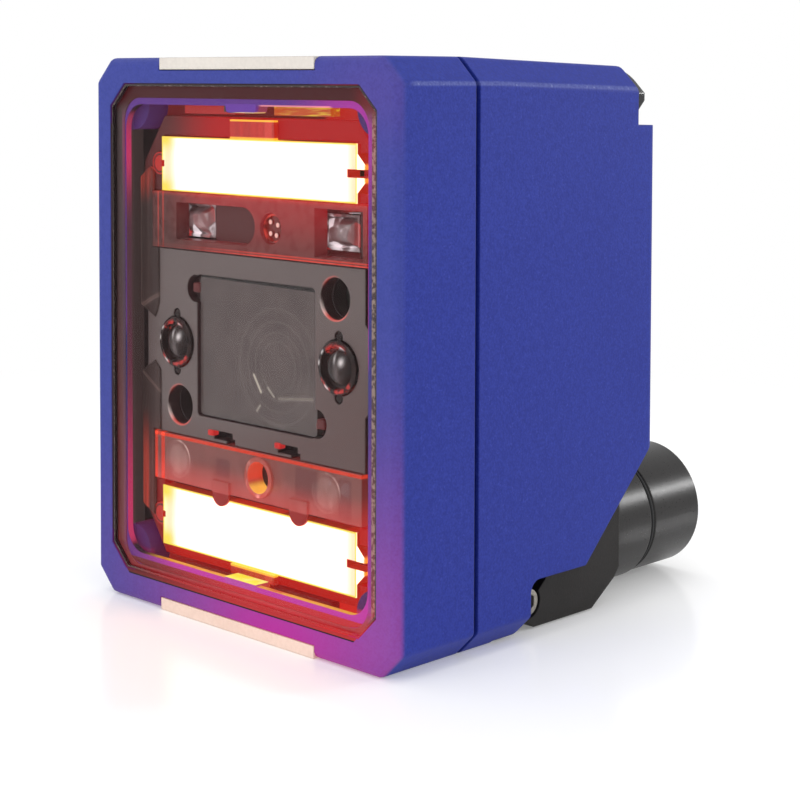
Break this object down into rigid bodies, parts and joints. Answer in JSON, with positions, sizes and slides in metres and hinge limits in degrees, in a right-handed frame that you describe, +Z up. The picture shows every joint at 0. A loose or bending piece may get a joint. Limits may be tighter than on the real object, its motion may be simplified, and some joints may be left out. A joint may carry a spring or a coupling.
{
  "type": "fixed barcode reader",
  "caption": "Compact fixed barcode reader: blue block body, smoked window over a lit illuminator and camera, and a swivelling rear block with round sockets.",
  "frame": {"origin": "centre of the flat base face under the front of the body", "axes": "+X to the right as seen facing the window, -Y the way the window looks, +Z up"},
  "size_m": [0.0464, 0.0525, 0.0585],
  "materials": {
    "blue_paint": "fine powder coat",
    "window_smoke": "smoked, polished",
    "tape_black": "matte",
    "light_guide_top": "satin, translucent",
    "light_guide_base": "satin, translucent",
    "seal_rubber": "matte",
    "screw_steel": "plain",
    "chassis_black": "moulded, matte",
    "plate_grey": "semi-gloss",
    "cover_smoke": "polished",
    "clear_lens": "polished",
    "tray_dark": "moulded",
    "diffuser_lit": "frosted, lit",
    "carrier_red": "moulded, translucent",
    "carrier_clear": "polished",
    "board_green": "solder mask",
    "led_yellow": "phosphor",
    "barrel_black": "anodised, matte",
    "coated_glass": "coated",
    "sensor_die": "polished",
    "spacer_brass": "turned",
    "strip_black": "gloss",
    "button_grey": "satin",
    "pipe_clear": "translucent",
    "block_black": "moulded, fine grain",
    "connector_black": "satin",
    "insert_black": "moulded",
    "contact_gold": "plated",
    "shield_metal": "plain"
  },
  "bodies": {
    "reader_body": {"front_frame": "blue_paint", "front_window": "window_smoke", "window_tape": "tape_black", "upper_indicator_guide": "light_guide_top", "lower_indicator_guide": "light_guide_base", "frame_gasket": "seal_rubber", "rear_housing": "blue_paint", "frame_screws": "screw_steel", "optics_chassis": "chassis_black", "optics_plate": "plate_grey", "lens_cover": "cover_smoke", "left_aimer_lens": "clear_lens", "right_aimer_lens": "clear_lens", "upper_light_tray": "tray_dark", "lower_light_tray": "tray_dark", "upper_diffuser": "diffuser_lit", "lower_diffuser": "diffuser_lit", "upper_lens_carrier": "carrier_red", "lower_lens_carrier": "carrier_clear", "upper_flood_lenses": "clear_lens", "lower_flood_lenses": "clear_lens", "range_sensor_lens": "clear_lens", "illumination_board": "board_green", "illumination_leds": "led_yellow", "camera_screws": "screw_steel", "lens_holder": "chassis_black", "lens_barrel": "barrel_black", "lens_glass": "coated_glass", "image_sensor": "sensor_die", "sensor_board": "board_green", "board_spacers": "spacer_brass", "processor_board": "board_green", "board_screws": "screw_steel", "operator_strip": "strip_black", "status_light_pipes": "pipe_clear"},
    "connector_swivel": {"connector_block": "block_black", "lock_screws": "screw_steel", "pivot_pins": "screw_steel", "power_connector": "connector_black", "network_connector": "connector_black", "connector_seals": "seal_rubber", "power_insert": "insert_black", "network_insert": "insert_black", "power_contacts": "contact_gold", "network_contacts": "contact_gold", "network_shield": "shield_metal"},
    "button": {"operator_button": "button_grey"}
  },
  "joints": [
    {"name": "connector_turn", "type": "hinge", "parent": "reader_body", "child": "connector_swivel", "pos_m": [0, 0.01963, 0.0105], "axis": [-1, 0, 0], "range_deg": [0, 90]},
    {"name": "button_press", "type": "slide", "parent": "reader_body", "child": "button", "axis": [0, -1, 0], "range_m": [0, 0.0005], "stiffness_N_per_m": 1200}
  ]
}
